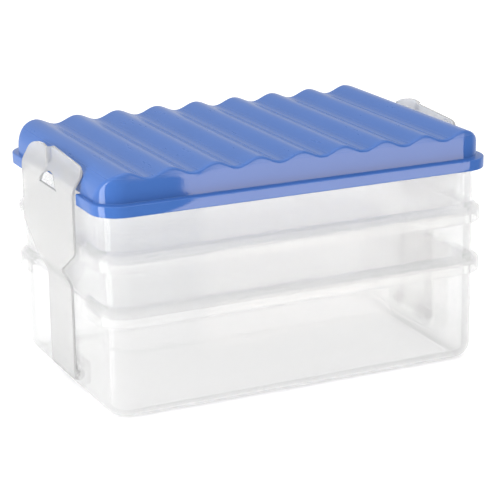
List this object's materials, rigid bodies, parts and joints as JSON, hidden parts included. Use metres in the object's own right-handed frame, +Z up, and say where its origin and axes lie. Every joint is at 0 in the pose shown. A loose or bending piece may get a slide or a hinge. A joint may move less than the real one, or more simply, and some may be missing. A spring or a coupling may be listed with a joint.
{
  "type": "stacking storage box",
  "caption": "Translucent storage box for art supplies: a blue wave-topped lid over stacked lift-out trays, held together by a hinged clip at each end.",
  "frame": {"origin": "centre of the box's footprint, on the surface that the base tray stands on", "axes": "+X along the box's length, +Y across its width away from the front, +Z up"},
  "size_m": [0.38, 0.243, 0.2155],
  "materials": {
    "clear_tray": "translucent milky moulded polypropylene, glossy",
    "blue_lid": "opaque blue moulded plastic, semi-gloss",
    "clear_clip": "translucent milky moulded polypropylene, glossy"
  },
  "bodies": {
    "base": {"base_tray": "clear_tray"},
    "middle_tray": {"middle_tray": "clear_tray"},
    "top_tray": {"top_tray": "clear_tray"},
    "lid": {"lid": "blue_lid"},
    "left_clip": {"left_clip": "clear_clip"},
    "right_clip": {"right_clip": "clear_clip"}
  },
  "joints": [
    {"name": "middle_tray_lift", "type": "slide", "parent": "base", "child": "middle_tray", "axis": [0, 0, 1], "range_m": [0, 0.14]},
    {"name": "top_tray_lift", "type": "slide", "parent": "middle_tray", "child": "top_tray", "axis": [0, 0, 1], "range_m": [0, 0.1]},
    {"name": "lid_lift", "type": "slide", "parent": "top_tray", "child": "lid", "axis": [0, 0, 1], "range_m": [0, 0.1]},
    {"name": "left_clip_hinge", "type": "hinge", "parent": "base", "child": "left_clip", "pos_m": [-0.1764, 0, 0.016], "axis": [0, -1, 0], "range_deg": [0, 90]},
    {"name": "right_clip_hinge", "type": "hinge", "parent": "base", "child": "right_clip", "pos_m": [0.1764, 0, 0.016], "axis": [0, 1, 0], "range_deg": [0, 90]}
  ]
}
